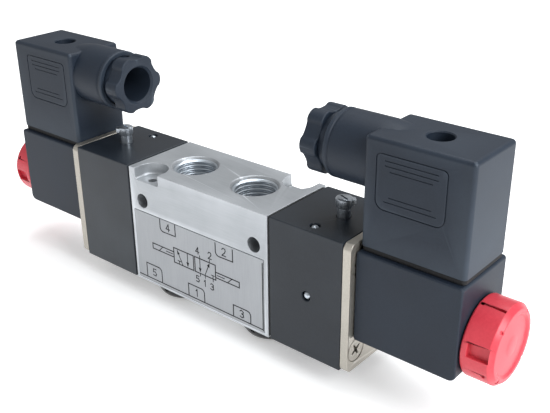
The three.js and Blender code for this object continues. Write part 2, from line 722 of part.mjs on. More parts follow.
function valveEnd(side) {
  const left = side === "left";
  const pistonIn = PISTON_INNERMOST + (left ? SPOOL_TRAVEL : 0);
  const top = BASE_Z + BODY_HEIGHT;
  const front = -BODY_WIDTH / 2;
  const screwNames = ["lower_front", "upper_front", "lower_back", "upper_back"];
  const screws = onEveryScrew((y, z) => plateScrew(y, z));
  const pieces = [
    ["pilot_gasket", pilotGasket(), "rubber"],
    ["pilot_block", pilotBlock(), "block"],
    ["piston", piston(pistonIn), "brass"],
    ["piston_seal", pistonSeal(pistonIn), "rubber"],
    ["override_pin", overridePin(), "steel"],
    ["override_seal", overrideSeal(), "rubber"],
    ["override_spring", overrideSpring(), "steel"],
    ["top_ball_plug", ballPlug([BALL_X, -BALL_Y, top - BALL_RADIUS]), "steel"],
    ["front_ball_plug", ballPlug([BALL_X, front + BALL_RADIUS, AXIS_Z - 0.4]), "steel"],
    ["flange_plate", flangePlate(), "nickel"],
    ...screws.map((screw, i) => [`plate_screw_${screwNames[i]}`, screw, "steel"]),
    ["guide_tube", guideTube(), "steel"],
    ["plunger", plunger(), "steel"],
    ["plunger_spring", plungerSpring(), "steel"],
    ["coil", coil(), "plastic"],
    ["connector_gasket", connectorGasket(), "rubber"],
    ["terminal_insert", terminalInsert(), "plastic"],
    ["connector_housing", connectorHousing(), "plastic"],
    ["connector_screw", connectorScrew(), "steel"],
    ["gland_seal", glandSeal(), "rubber"],
    ["gland_nut", glandNut(), "plastic"],
    ["coil_nut", coilNut(), "red"],
  ];
  const group = new THREE.Group();
  pieces.forEach(([name, made, look]) => group.add(mesh(`${name}_${side}`, made, look)));
  if (left) group.rotation.z = Math.PI;
  return group;
}

const valve = new THREE.Group();
valve.add(valveCentre(), valveEnd("left"), valveEnd("right"));

export default valve;
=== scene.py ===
"""Looks of the solenoid directional valve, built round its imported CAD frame.

Shapes are modelled in millimetres for the right-hand end and the centre, then scaled to metres. Pieces
of the left-hand end are the same shapes turned half a turn about Z.
"""

import json
import math

import bmesh
import bpy
from mathutils import Matrix, Vector


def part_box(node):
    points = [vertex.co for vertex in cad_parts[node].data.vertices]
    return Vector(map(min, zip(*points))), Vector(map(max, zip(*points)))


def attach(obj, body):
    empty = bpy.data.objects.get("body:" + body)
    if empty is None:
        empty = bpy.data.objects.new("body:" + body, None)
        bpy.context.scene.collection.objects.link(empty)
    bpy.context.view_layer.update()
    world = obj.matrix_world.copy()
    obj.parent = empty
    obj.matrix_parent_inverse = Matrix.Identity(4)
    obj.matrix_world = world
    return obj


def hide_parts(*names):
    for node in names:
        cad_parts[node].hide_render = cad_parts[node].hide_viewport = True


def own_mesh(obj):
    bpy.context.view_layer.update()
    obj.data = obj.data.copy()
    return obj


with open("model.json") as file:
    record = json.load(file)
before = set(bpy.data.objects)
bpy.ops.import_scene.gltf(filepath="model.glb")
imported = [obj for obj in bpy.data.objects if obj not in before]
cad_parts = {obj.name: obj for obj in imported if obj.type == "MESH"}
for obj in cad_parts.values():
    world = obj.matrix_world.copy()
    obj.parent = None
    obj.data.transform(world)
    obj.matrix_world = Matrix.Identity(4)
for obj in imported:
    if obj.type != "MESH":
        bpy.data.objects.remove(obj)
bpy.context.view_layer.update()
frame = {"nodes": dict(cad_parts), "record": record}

MM = 0.001
scene = bpy.context.scene


def corners(node):
    """Lowest and highest corner of a CAD node in millimetres."""
    low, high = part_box(node)
    return [v / MM for v in low], [v / MM for v in high]


BODY_LOW, BODY_HIGH = corners("valve_body")
PILOT_LOW, PILOT_HIGH = corners("pilot_block_right")
PLATE_LOW, PLATE_HIGH = corners("flange_plate_right")
COIL_LOW, COIL_HIGH = corners("coil_right")
NUT_LOW, NUT_HIGH = corners("coil_nut_right")
HOUSING_LOW, HOUSING_HIGH = corners("connector_housing_right")
GASKET_LOW, GASKET_HIGH = corners("connector_gasket_right")
GLAND_LOW, GLAND_HIGH = corners("gland_nut_right")
SEAL_LOW, SEAL_HIGH = corners("gland_seal_right")
PIN_LOW, PIN_HIGH = corners("override_pin_right")
SILENCER_LOW, SILENCER_HIGH = corners("exhaust_silencer_right")

BASE = BODY_LOW[2]
TOP = BODY_HIGH[2]
FRONT = BODY_LOW[1]
BACK = BODY_HIGH[1]
AXIS = (BASE + TOP) / 2
NECK = (SEAL_LOW[2] + SEAL_HIGH[2]) / 2
CONNECTOR_IN, CONNECTOR_OUT = GASKET_LOW[0] - 0.2, GASKET_HIGH[0] + 0.2
CONNECTOR_MID = (CONNECTOR_IN + CONNECTOR_OUT) / 2
CONNECTOR_TOP = BASE + 67.3
COIL_TOP = GASKET_LOW[2] - 0.1
AXIS_LINE = (0, 0, AXIS)
NECK_LINE = (0, 0, NECK)


# Shapes

def mesh_object(name, verts, faces):
    mesh = bpy.data.meshes.new(name)
    mesh.from_pydata(verts, [], faces)
    bm = bmesh.new()
    bm.from_mesh(mesh)
    bmesh.ops.remove_doubles(bm, verts=bm.verts, dist=1e-5)
    bmesh.ops.recalc_face_normals(bm, faces=bm.faces)
    bm.to_mesh(mesh)
    bm.free()
    obj = bpy.data.objects.new(name, mesh)
    scene.collection.objects.link(obj)
    return obj


def lathe(profile, axis="x", centre=(0, 0, 0), sides=96, name="tool"):
    """[radius, distance] pairs turned about an axis. A profile off the axis closes on itself."""
    place = {"x": lambda a, u, v: (a, u, v), "y": lambda a, u, v: (u, a, v), "z": lambda a, u, v: (u, v, a)}
    verts, rings = [], []
    for radius, along in profile:
        count = sides if radius > 0 else 1
        ring = []
        for i in range(count):
            angle = math.tau * i / sides
            point = place[axis](along, radius * math.cos(angle), radius * math.sin(angle))
            ring.append(len(verts))
            verts.append([p + c for p, c in zip(point, centre)])
        rings.append(ring)
    pairs = list(zip(rings, rings[1:]))
    if profile[0][0] > 0:
        pairs.append((rings[-1], rings[0]))
    faces = []
    for a, b in pairs:
        for i in range(sides):
            j = (i + 1) % sides
            face = [a[i % len(a)], a[j % len(a)], b[j % len(b)], b[i % len(b)]]
            face = list(dict.fromkeys(face))
            if len(face) > 2:
                faces.append(face)
    return mesh_object(name, verts, faces)


def rod(radius, start, end, axis="x", centre=(0, 0, 0), sides=96):
    return lathe([(0, start), (radius, start), (radius, end), (0, end)], axis, centre, sides)


def block(low, high, name="tool"):
    verts = [(x, y, z) for x in (low[0], high[0]) for y in (low[1], high[1]) for z in (low[2], high[2])]
    faces = [(0, 1, 3, 2), (4, 6, 7, 5), (0, 4, 5, 1), (2, 3, 7, 6), (0, 2, 6, 4), (1, 5, 7, 3)]
    return mesh_object(name, verts, faces)


def prism(outline, start, end, axis, name="tool"):
    """A closed outline pushed along an axis. Its points are (Y, Z), (X, Z) or (X, Y) in that order."""
    place = {"x": lambda p, d: (d, p[0], p[1]), "y": lambda p, d: (p[0], d, p[1]), "z": lambda p, d: (p[0], p[1], d)}
    count = len(outline)
    verts = [place[axis](p, d) for d in (start, end) for p in outline]
    faces = [tuple(range(count)), tuple(range(2 * count - 1, count - 1, -1))]
    faces += [(i, (i + 1) % count, count + (i + 1) % count, count + i) for i in range(count)]
    return mesh_object(name, verts, faces)


def rounded(width, height, radii, centre=(0, 0), steps=8):
    """A rounded rectangle's outline. The radii go anticlockwise from the lower left corner."""
    if not isinstance(radii, (list, tuple)):
        radii = [radii] * 4
    points = []
    signs = [(-1, -1), (1, -1), (1, 1), (-1, 1)]
    for k, ((sx, sy), r) in enumerate(zip(signs, radii)):
        cx = centre[0] + sx * (width / 2 - r)
        cy = centre[1] + sy * (height / 2 - r)
        for i in range(steps + 1):
            angle = math.pi + k * math.pi / 2 + i / steps * math.pi / 2
            points.append((cx + r * math.cos(angle), cy + r * math.sin(angle)))
    return points


def baked(obj):
    graph = bpy.context.evaluated_depsgraph_get()
    mesh = bpy.data.meshes.new_from_object(obj.evaluated_get(graph), preserve_all_data_layers=True, depsgraph=graph)
    obj.modifiers.clear()
    obj.data = mesh
    return obj


def combine(base, tools, operation="DIFFERENCE"):
    for tool in tools:
        step = base.modifiers.new("step", "BOOLEAN")
        step.operation = operation
        step.solver = "EXACT"
        step.object = tool
    baked(base)
    for tool in tools:
        bpy.data.objects.remove(tool)
    return base


def cut(base, *tools):
    return combine(base, tools)


def join(base, *tools):
    return combine(base, tools, "UNION")


def bevel(obj, width, segments=3, angle=35):
    step = obj.modifiers.new("edge", "BEVEL")
    step.width = width
    step.segments = segments
    step.limit_method = "ANGLE"
    step.angle_limit = math.radians(angle)
    step.use_clamp_overlap = False
    return baked(obj)


# Finishes

def material(name, colour, second, roughness, metallic=0.0, grain=(900, 900, 900), bump=0.02, spread=0.12,
             specular=0.5, coat=0.0, edge_highlight=None):
    """A procedural finish: cloudy tint, fine grain in the gloss and surface, and a painted highlight that lightens the
    sharp edges.
    """
    made = bpy.data.materials.new(name)
    made.use_nodes = True
    nodes, links = made.node_tree.nodes, made.node_tree.links
    shader = nodes["Principled BSDF"]
    shader.inputs["Metallic"].default_value = metallic
    shader.inputs["Specular IOR Level"].default_value = specular
    shader.inputs["Coat Weight"].default_value = coat
    shader.inputs["Coat Roughness"].default_value = 0.2
    place = nodes.new("ShaderNodeTexCoord")
    stretch = nodes.new("ShaderNodeMapping")
    stretch.inputs["Scale"].default_value = grain
    links.new(place.outputs["Object"], stretch.inputs["Vector"])
    fine = nodes.new("ShaderNodeTexNoise")
    fine.inputs["Scale"].default_value = 1.0
    fine.inputs["Detail"].default_value = 4.0
    links.new(stretch.outputs["Vector"], fine.inputs["Vector"])
    cloud = nodes.new("ShaderNodeTexNoise")
    cloud.inputs["Scale"].default_value = 70.0
    cloud.inputs["Detail"].default_value = 5.0
    links.new(place.outputs["Object"], cloud.inputs["Vector"])
    blend = nodes.new("ShaderNodeMath")
    blend.operation = "MULTIPLY_ADD"
    blend.inputs[1].default_value = 0.45
    links.new(fine.outputs["Fac"], blend.inputs[0])
    share = nodes.new("ShaderNodeMath")
    share.operation = "MULTIPLY"
    share.inputs[1].default_value = 0.55
    links.new(cloud.outputs["Fac"], share.inputs[0])
    links.new(share.outputs[0], blend.inputs[2])
    tint = nodes.new("ShaderNodeValToRGB")
    tint.color_ramp.elements[0].position = 0.35
    tint.color_ramp.elements[1].position = 0.65
    tint.color_ramp.elements[0].color = (*colour, 1)
    tint.color_ramp.elements[1].color = (*second, 1)
    links.new(blend.outputs[0], tint.inputs["Fac"])
    base = tint.outputs["Color"]
    # Painted highlight: sharp convex edges, found by pointiness and broken into patches by the cloud noise, are mixed
    # towards a lighter colour.
    if edge_highlight:
        shape = nodes.new("ShaderNodeNewGeometry")
        edge = nodes.new("ShaderNodeMapRange")
        edge.inputs["From Min"].default_value = 0.53
        edge.inputs["From Max"].default_value = 0.62
        links.new(shape.outputs["Pointiness"], edge.inputs["Value"])
        patchy_highlight = nodes.new("ShaderNodeMath")
        patchy_highlight.operation = "MULTIPLY"
        links.new(edge.outputs["Result"], patchy_highlight.inputs[0])
        links.new(cloud.outputs["Fac"], patchy_highlight.inputs[1])
        highlit_edges = nodes.new("ShaderNodeMix")
        highlit_edges.data_type = "RGBA"
        highlit_edges.inputs["B"].default_value = (*edge_highlight, 1)
        links.new(patchy_highlight.outputs[0], highlit_edges.inputs["Factor"])
        links.new(base, highlit_edges.inputs["A"])
        base = highlit_edges.outputs["Result"]
    links.new(base, shader.inputs["Base Color"])
    gloss = nodes.new("ShaderNodeMapRange")
    gloss.inputs["To Min"].default_value = roughness * (1 - spread)
    gloss.inputs["To Max"].default_value = roughness * (1 + spread)
    links.new(blend.outputs[0], gloss.inputs["Value"])
    links.new(gloss.outputs["Result"], shader.inputs["Roughness"])
    relief = nodes.new("ShaderNodeBump")
    relief.inputs["Strength"].default_value = 0.6
    relief.inputs["Distance"].default_value = bump * MM
    links.new(fine.outputs["Fac"], relief.inputs["Height"])
    links.new(relief.outputs["Normal"], shader.inputs["Normal"])
    return made


# The lighter colour that some finishes below get for their sharp edges is a painted highlight.
ALUMINIUM = material("aluminium_milled", (0.34, 0.36, 0.38), (0.41, 0.43, 0.45), 0.44, 0.7,
                     (120, 2600, 2600), 0.012, 0.2, edge_highlight=(0.75, 0.78, 0.82))
BRIGHT = material("aluminium_threaded", (0.42, 0.47, 0.52), (0.54, 0.58, 0.62), 0.34, 0.85, (300, 300, 2600), 0.01)
LABEL = material("label_plate", (0.34, 0.355, 0.375), (0.39, 0.405, 0.425), 0.52, 0.45, (2200, 2200, 150), 0.006)
INK = material("label_ink", (0.010, 0.010, 0.012), (0.016, 0.016, 0.018), 0.6, bump=0.004, specular=0.2)
STEEL = material("steel_bright", (0.40, 0.45, 0.50), (0.54, 0.58, 0.63), 0.3, 0.9, (900, 900, 3000), 0.01,
                 0.3, edge_highlight=(0.8, 0.84, 0.88))
NICKEL = material("nickel_plate", (0.36, 0.34, 0.30), (0.46, 0.43, 0.38), 0.36, 0.8, (2600, 260, 2600), 0.012,
                  0.3, edge_highlight=(0.8, 0.78, 0.72))
BLOCK = material("pilot_block_plastic", (0.009, 0.013, 0.019), (0.014, 0.019, 0.027), 0.34, 0.0,
                 (1500, 1500, 1500), 0.015, 0.25, 0.3, edge_highlight=(0.05, 0.06, 0.07))
PLASTIC = material("coil_plastic", (0.010, 0.016, 0.027), (0.015, 0.023, 0.037), 0.5, 0.0,
                   (2400, 2400, 2400), 0.02, 0.2, 0.28, edge_highlight=(0.07, 0.09, 0.115))
NUT_RED = material("red_plastic", (0.56, 0.035, 0.055), (0.64, 0.050, 0.072), 0.4, 0.0,
                   (1400, 1400, 1400), 0.02, 0.2, 0.4, coat=0.1, edge_highlight=(0.85, 0.16, 0.19))
GLOSS = material("silencer_plastic", (0.008, 0.009, 0.010), (0.012, 0.013, 0.015), 0.22, 0.0,
                 (1200, 1200, 1200), 0.012, 0.3, edge_highlight=(0.03, 0.03, 0.035))
RUBBER = material("seal_rubber_black", (0.008, 0.008, 0.009), (0.014, 0.014, 0.015), 0.72, 0.0,
                  (1800, 1800, 1800), 0.03, specular=0.3)
BRASS = material("brass_turned", (0.60, 0.45, 0.20), (0.70, 0.54, 0.28), 0.3, 1.0, (2600, 300, 300), 0.01)
SLOT_FINISH = {
    "body_aluminium": ALUMINIUM, "label_metal": LABEL, "spool_aluminium": BRIGHT, "seal_rubber": RUBBER,
    "black_plastic": PLASTIC, "block_plastic": BLOCK, "brass": BRASS, "steel": STEEL,
    "nickel_plate": NICKEL, "red_plastic": NUT_RED,
}


def settle(obj, name, body, finish, nodes=(), angle=32):
    """Scales a finished shape to metres, smooths it, and puts it on its body."""
    obj.name = obj.data.name = name
    bm = bmesh.new()
    bm.from_mesh(obj.data)
    bmesh.ops.remove_doubles(bm, verts=bm.verts, dist=1e-4)
    bmesh.ops.dissolve_degenerate(bm, edges=bm.edges, dist=1e-4)
    bm.to_mesh(obj.data)
    bm.free()
    obj.data.transform(Matrix.Scale(MM, 4))
    obj.data.shade_smooth()
    obj.data.set_sharp_from_angle(angle=math.radians(angle))
    weighted = obj.modifiers.new("faces", "WEIGHTED_NORMAL")
    weighted.keep_sharp = True
    weighted.weight = 90
    obj.data.materials.clear()
    obj.data.materials.append(finish)
    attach(obj, body)
    if nodes:
        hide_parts(*nodes)
    return obj


def both_ends(obj, name, body, finish, node=None, angle=32):
    """Settles a right-hand piece, and a copy of it turned half a turn for the left-hand end."""
    other = bpy.data.objects.new(name, obj.data.copy())
    scene.collection.objects.link(other)
    other.data.transform(Matrix.Rotation(math.pi, 4, "Z"))
    for side, piece in (("right", obj), ("left", other)):
        rides = body if body == "valve" else f"{body}_{side}"
        nodes = [f"{node}_{side}"] if node else []
        settle(piece, f"look_{name}_{side}", rides, finish, nodes, angle)


# The valve body and its label

PORT_X = 11.9
EXHAUST_X = 18.3
THREAD_ROOT = 6.6
THREAD_CREST = 5.8
PORT_DEPTH = 9.6
POCKET_DEPTH = 3.6


def port_tool(x, face, inwards):
    profile = [(0, face - inwards), (8.12, face - inwards), (THREAD_ROOT, face + inwards * 0.75),
               (THREAD_ROOT, face + inwards * PORT_DEPTH), (0, face + inwards * PORT_DEPTH)]
    return lathe(profile, "z", (x, 0, 0))


def pocket_tool(side):
    """A round-ended pocket, open through the front or back face, with a rounded floor edge."""
    r, x, y = 5.0, side * 20, side * 10.4
    outline = []
    for i in range(33):
        angle = math.pi * i / 32
        outline.append((x + r * math.cos(angle), y - side * r * math.sin(angle)))
    edge = side * (BACK + 2)
    outline += [(x - r, edge), (x + r, edge)]
    tool = prism(outline, TOP - POCKET_DEPTH, TOP + 2, "z")
    return bevel(tool, 0.7, 4, 60)


def body():
    made = block(BODY_LOW, BODY_HIGH)
    grooves = [rod(7, 9 * k - 2, 9 * k + 2, "x", AXIS_LINE, 48) for k in range(-2, 3)]
    ways = [rod(1.6, AXIS + 6 if k % 2 else BASE + 5, TOP - 5 if k % 2 else AXIS - 6, "z", (9 * k, 0, 0), 32)
            for k in range(-2, 3)]
    screws = [rod(1.6, *((22, 29) if side > 0 else (-29, -22)), "x", (0, y, AXIS + dz), 24)
              for side in (-1, 1) for y in (-9.1, 9.1) for dz in (-13.2, 13.2)]
    holes = [rod(2.25, FRONT - 1, BACK + 1, "y", (x, 0, BASE + 28.2), 48) for x in (-22.5, 22.5)]
    ports = [port_tool(x, TOP, -1) for x in (-PORT_X, PORT_X)]
    ports += [port_tool(x, BASE, 1) for x in (-EXHAUST_X, 0, EXHAUST_X)]
    pockets = [pocket_tool(-1), pocket_tool(1)]
    small = [rod(1.25, TOP - POCKET_DEPTH - 3, TOP, "z", (s * 20, s * 10.4, 0), 32) for s in (-1, 1)]
    well = block((-26.5, FRONT - 1, BASE + 0.9), (26, FRONT + 0.2, BASE + 24.6))
    cut(made, *ports, *holes, *pockets, *small, well)
    bevel(made, 0.22, 2, 40)
    cut(made, rod(5.5, -29, 29, "x", AXIS_LINE), *grooves, *ways, *screws)
    settle(made, "look_valve_body", "valve", ALUMINIUM, ["valve_body"])


def thread(x, face, inwards, name):
    """A helical pipe thread standing in a port, as one closed sleeve."""
    sides, pitch, start, end = 96, 1.34, 0.75, PORT_DEPTH - 0.6
    rows = int((end - start) / pitch * 8)
    verts, faces = [], []
    for row in range(rows + 1):
        depth = start + (end - start) * row / rows
        for i in range(sides):
            angle = math.tau * i / sides
            phase = (depth / pitch - i / sides) % 1
            ridge = min(1.0, max(0.0, 1.6 * (1 - abs(2 * phase - 1)) - 0.25))
            fade = min(1.0, (depth - start) / 0.5, (end - depth) / 0.5)
            radius = THREAD_ROOT - 0.08 - (THREAD_ROOT - 0.08 - THREAD_CREST) * ridge * fade
            verts.append((x + radius * math.cos(angle), radius * math.sin(angle), face + inwards * depth))
    for depth in (end, start):
        for i in range(sides):
            angle = math.tau * i / sides
            verts.append((x + THREAD_ROOT * math.cos(angle), THREAD_ROOT * math.sin(angle), face + inwards * depth))
    total = rows + 3
    for row in range(total):
        for i in range(sides):
            j = (i + 1) % sides
            nxt = (row + 1) % total
            faces.append((row * sides + i, row * sides + j, nxt * sides + j, nxt * sides + i))
    settle(mesh_object(name, verts, faces), name, "valve", BRIGHT, angle=60)


LINE = 0.34


def stroke(points, width=LINE):
    """A printed line of that width along points (X, Z above the body's underside), as flat thin bars."""
    bars = []
    for (x0, z0), (x1, z1) in zip(points, points[1:]):
        length = math.hypot(x1 - x0, z1 - z0)
        ux, uz = (x1 - x0) / length, (z1 - z0) / length
        ex, ez = ux * width / 2, uz * width / 2
        nx, nz = -uz * width / 2, ux * width / 2
        bars.append([(x0 - ex + nx, z0 - ez + nz), (x0 - ex - nx, z0 - ez - nz),
                     (x1 + ex - nx, z1 + ez - nz), (x1 + ex + nx, z1 + ez + nz)])
    return bars


DIGITS = {
    "1": [[(0.3, 0.75), (0.55, 1), (0.55, 0)]],
    "2": [[(0.05, 0.8), (0.3, 1), (0.7, 0.95), (0.8, 0.7), (0.65, 0.45), (0.05, 0), (0.85, 0)]],
    "3": [[(0.05, 0.85), (0.35, 1), (0.75, 0.85), (0.7, 0.6), (0.4, 0.52), (0.75, 0.42), (0.8, 0.15), (0.4, 0),
           (0.05, 0.12)]],
    "4": [[(0.65, 0), (0.65, 1), (0.05, 0.3), (0.9, 0.3)]],
    "5": [[(0.8, 1), (0.15, 1), (0.1, 0.55), (0.55, 0.62), (0.85, 0.35), (0.65, 0.03), (0.05, 0.08)]],
}


def digit(name, x, z, size):
    bars = []
    for line in DIGITS[name]:
        points = [(x + (u - 0.45) * size * 0.75, z + (v - 0.5) * size) for u, v in line]
        bars += stroke(points, 0.3)
    return bars


def arrow(x0, z0, x1, z1):
    length = math.hypot(x1 - x0, z1 - z0)
    ux, uz = (x1 - x0) / length, (z1 - z0) / length
    head = [(x1, z1), (x1 - ux * 1.5 - uz * 0.55, z1 - uz * 1.5 + ux * 0.55),
            (x1 - ux * 1.5 + uz * 0.55, z1 - uz * 1.5 - ux * 0.55)]
    return stroke([(x0, z0), (x1 - ux * 0.8, z1 - uz * 0.8)], 0.26) + [head]


def tab(x0, x1, z0, z1, up, rounded_corner=1.3):
    """A numbered tab standing on the frame line or hanging under it, with one rounded corner."""
    r = rounded_corner
    arc = [math.pi / 2 * i / 4 for i in range(5)]
    if up:
        line = [(x0, z0), (x0, z1)] + [(x1 - r + r * math.sin(a), z1 - r + r * math.cos(a)) for a in arc]
        return stroke(line + [(x1, z0)])
    line = [(x1, z1), (x1, z0 + 0.1)] + [(x0 + r - r * math.sin(a), z0 + r - r * math.cos(a)) for a in arc]
    return stroke(line + [(x0, z1)])


def cell(x0, x1, z0, z1):
    return stroke([(x0, z0), (x1, z0), (x1, z1), (x0, z1), (x0, z0)])


def label():
    plate = block((-26.4, FRONT, BASE + 1), (25.9, FRONT + 0.15, BASE + 24.5))
    settle(plate, "look_name_label", "valve", LABEL, ["name_label"])
    flats = stroke([(25.6, 23.4), (25.6, 1.6)]) + stroke([(-26.2, 1.9), (25.5, 1.9)])
    flats += tab(-15.2, -8.7, 20.4, 24.3, False)
    flats += tab(7.8, 14.5, 19.9, 23.9, False)
    flats += tab(-22.7, -15.9, 2.0, 6.9, True)
    flats += tab(-4.2, 2.5, 2.0, 6.2, True)
    flats += tab(14.2, 20.9, 2.0, 5.8, True)
    for name, x, z in (("4", -11.9, 22.4), ("2", 11.1, 22.0), ("5", -19.2, 4.4), ("1", -0.8, 4.1), ("3", 17.5, 3.9)):
        flats += digit(name, x, z, 2.4)
    low, high, mid = 11.5, 16.5, 14.0
    flats += cell(-9.8, -1.5, low, high) + cell(-0.9, 7.5, low, high)
    flats += cell(-19.1, -9.8, 13.2, 15.0) + cell(7.5, 16.8, 12.4, 14.2)
    flats += stroke([(-16.4, 13.2), (-14.6, 15.0)], 0.26) + stroke([(12.2, 12.4), (14.0, 14.2)], 0.26)
    flats += stroke([(-13.2, 14.1), (-10.4, 14.1)], 0.26) + stroke([(8.2, 13.3), (11, 13.3)], 0.26)
    flats += arrow(-6.2, low + 0.3, -8.4, high - 0.3) + arrow(-4.0, high - 0.2, -4.0, low + 0.3)
    flats += arrow(1.2, high - 0.2, 1.2, low + 0.3) + arrow(3.2, low + 0.3, 5.2, high - 0.2)
    flats += stroke([(-7.6, low), (-7.6, low + 1.1)], 0.26) + stroke([(-8.2, low + 1.1), (-7.0, low + 1.1)], 0.26)
    flats += stroke([(6.4, low), (6.4, low + 1.1)], 0.26) + stroke([(5.8, low + 1.1), (7.0, low + 1.1)], 0.26)
    flats += stroke([(1.2, high), (1.2, high + 0.9)], 0.26) + stroke([(5.2, high), (5.2, high + 0.9)], 0.26)
    for x in (1.2, 3.2, 6.4):
        flats += stroke([(x, low), (x, low - 0.9)], 0.26)
    for name, x, z in (("4", 0.3, 18.9), ("2", 5.4, 18.9), ("5", 0.0, 9.2), ("1", 2.9, 8.8), ("3", 5.9, 8.6)):
        flats += digit(name, x, z, 2.1)
    verts, faces = [], []
    for flat in flats:
        count, first = len(flat), len(verts)
        for y in (FRONT - 0.03, FRONT + 0.02):
            verts += [(x, y, BASE + z) for x, z in flat]
        faces.append([first + i for i in range(count)])
        faces.append([first + count + i for i in reversed(range(count))])
        for i in range(count):
            j = (i + 1) % count
            faces.append([first + j, first + i, first + count + i, first + count + j])
    mesh = bpy.data.meshes.new("print")
    mesh.from_pydata(verts, [], faces)
    bm = bmesh.new()
    bm.from_mesh(mesh)
    bmesh.ops.recalc_face_normals(bm, faces=bm.faces)
    bm.to_mesh(mesh)
    bm.free()
    printed = bpy.data.objects.new("print", mesh)
    scene.collection.objects.link(printed)
    settle(printed, "look_label_print", "valve", INK)


def silencer(x, name, node):
    under = BASE - 0.1
    profile = [(0, 0), (6.6, 0), (7.6, 0.25), (8.6, 0.9), (9.3, 2.0), (9.6, 3.4), (9.6, under), (5.6, under),
               (5.6, under + 7), (3.6, under + 7), (3.6, 2), (0, 2)]
    made = lathe(profile, "z", (x, 0, 0))
    slots = []
    for k in range(6):
        slot = block((6.5, -0.6, 2.9), (12, 0.6, 4.9))
        slot.data.transform(Matrix.Rotation(math.radians(30 + 60 * k), 4, "Z"))
        slot.data.transform(Matrix.Translation((x, 0, 0)))
        slots.append(slot)
    ring = lathe([(3.2, -1), (3.7, -1), (3.7, 0.3), (3.2, 0.3)], "z", (x, 0, 0))
    cut(made, *slots, ring)
    bevel(made, 0.15, 2, 40)
    settle(made, name, "valve", GLOSS, [node])


# One end, on the right

def pilot():
    made = block(PILOT_LOW, PILOT_HIGH)
    screws = [rod(1.7, PILOT_LOW[0] - 1, PILOT_HIGH[0] + 1, "x", (0, y, AXIS + dz), 24)
              for y in (-9.1, 9.1) for dz in (-13.2, 13.2)]
    cut(made, rod(8.0, PILOT_LOW[0] - 1, 39.3, "x", AXIS_LINE), rod(6.7, 50.0, 54, "x", AXIS_LINE),
        rod(0.8, 38, 51, "x", AXIS_LINE, 24), rod(1.95, AXIS + 3, TOP + 1, "z", (43.2, 0, 0), 48),
        rod(1.4, TOP - 5, TOP + 1, "z", (40.8, -9.3, 0), 32),
        rod(1.4, FRONT - 1, FRONT + 4, "y", (40.8, 0, AXIS - 0.4), 32), *screws)
    bevel(made, 0.3, 3, 40)
    both_ends(made, "pilot_block", "valve", BLOCK, "pilot_block")


def ball(centre, name):
    profile = [(1.3 * math.sin(math.pi * i / 16), -1.3 * math.cos(math.pi * i / 16)) for i in range(17)]
    profile[0], profile[-1] = (0, -1.3), (0, 1.3)
    both_ends(lathe(profile, "z", centre, 32), name, "valve", STEEL, name, 60)


def pin():
    top = PIN_HIGH[2]
    profile = [(0, PIN_LOW[2]), (1.7, PIN_LOW[2]), (1.9, PIN_LOW[2] + 0.2), (1.9, TOP - 3.6), (1.25, TOP - 3.6),
               (1.25, TOP - 2.4), (1.9, TOP - 2.4), (1.9, TOP + 2.6), (2.2, TOP + 2.8), (2.3, TOP + 3.0),
               (2.3, top - 0.25), (2.15, top - 0.07), (2.0, top), (0, top)]
    made = lathe(profile, "z", (0, 0, 0), 96)
    pointer = prism([(0, -1.9), (2.2, -1.3), (2.9, -0.85), (3.1, -0.5), (3.1, 0.5), (2.9, 0.85), (2.2, 1.3),
                     (0, 1.9)], top - 1.9, top - 0.4, "z")
    bevel(pointer, 0.15, 3, 60)
    pointer.data.transform(Matrix.Rotation(math.pi / 4, 4, "Z"))
    slot = block((-1.7, -0.28, top - 0.7), (1.7, 0.28, top + 1))
    slot.data.transform(Matrix.Rotation(-math.pi / 9, 4, "Z"))
    join(made, pointer)
    cut(made, slot)
    made.data.transform(Matrix.Translation((43.2, 0, 0)))
    both_ends(made, "override_pin", "override_pin", STEEL, "override_pin")


def plate():
    width, height = PLATE_HIGH[1] - PLATE_LOW[1], PLATE_HIGH[2] - PLATE_LOW[2]
    made = prism(rounded(width, height, 2, (0, AXIS)), PLATE_LOW[0], PLATE_HIGH[0], "x")
    out = PLATE_HIGH[0]
    sinks = [lathe([(0, PLATE_LOW[0] - 1), (1.7, PLATE_LOW[0] - 1), (1.7, out - 2.1), (3.5, out - 0.2), (3.5, out + 1),
                    (0, out + 1)], "x", (0, y, AXIS + dz), 48) for y in (-9.1, 9.1) for dz in (-13.2, 13.2)]
    cut(made, rod(4.5, PLATE_LOW[0] - 1, out + 1, "x", AXIS_LINE, 64), *sinks)
    bevel(made, 0.25, 3, 40)
    both_ends(made, "flange_plate", "valve", NICKEL, "flange_plate")
    for name, y, dz in (("lower_front", -9.1, -13.2), ("upper_front", -9.1, 13.2),
                        ("lower_back", 9.1, -13.2), ("upper_back", 9.1, 13.2)):
        face = out - 0.1
        screw = lathe([(0, 22.5), (1.5, 22.5), (1.5, out - 2), (3.4, out - 0.3), (3.4, face), (0, face)],
                      "x", (0, y, AXIS + dz), 48)
        arms = [prism([(-1.9, -0.2), (-0.7, -0.42), (0.7, -0.42), (1.9, -0.2), (1.9, 0.2), (0.7, 0.42), (-0.7, 0.42),
                       (-1.9, 0.2)], face - 1.2, face + 1, "x") for _ in range(2)]
        for arm, turn in zip(arms, (20, 110)):
            arm.data.transform(Matrix.Rotation(math.radians(turn + 13 * dz), 4, "X"))
            arm.data.transform(Matrix.Translation((0, y, AXIS + dz)))
        cut(screw, *arms)
        bevel(screw, 0.08, 2, 50)
        both_ends(screw, f"plate_screw_{name}", "valve", NICKEL, f"plate_screw_{name}")


